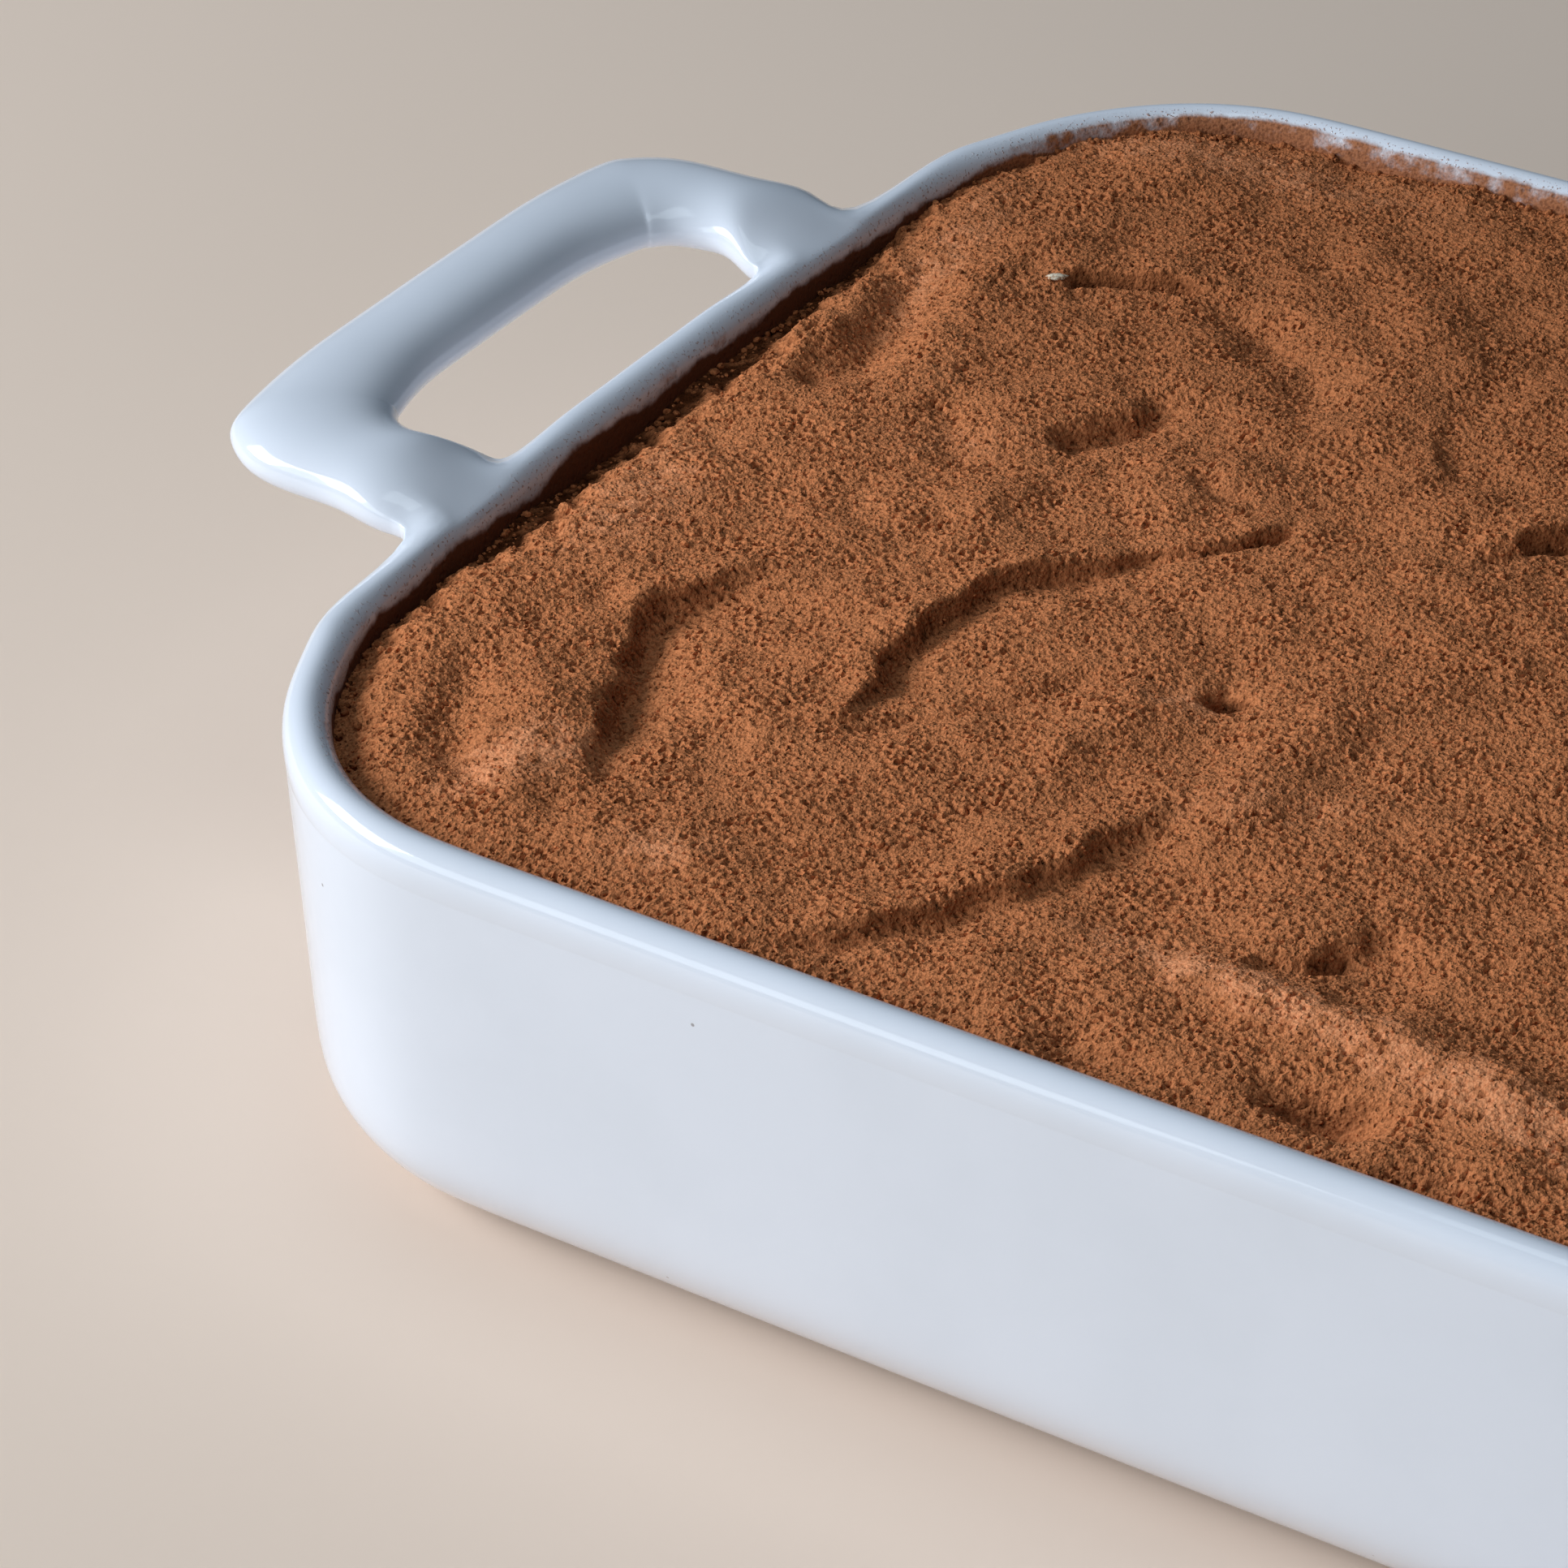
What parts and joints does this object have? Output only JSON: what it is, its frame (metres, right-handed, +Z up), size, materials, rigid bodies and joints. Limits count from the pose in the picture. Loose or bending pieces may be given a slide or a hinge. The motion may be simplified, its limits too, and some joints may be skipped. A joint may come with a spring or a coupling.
{
  "type": "tiramisu in a baking dish",
  "caption": "Whole uncut tiramisu dusted with cocoa, in its deep rectangular white glazed baking dish with rounded corners and loop handles.",
  "frame": {"origin": "middle of the dish's flat foot", "axes": "+X along the dish's length through both handles, +Y across its width, +Z up out of the dish"},
  "size_m": [0.4006, 0.23, 0.0624],
  "materials": {
    "white_glaze": "cool white glossy glaze",
    "cocoa_powder": "matte crumbly cocoa dust"
  },
  "bodies": {
    "root": {"baking_dish": "white_glaze", "tiramisu": "cocoa_powder"}
  },
  "joints": []
}
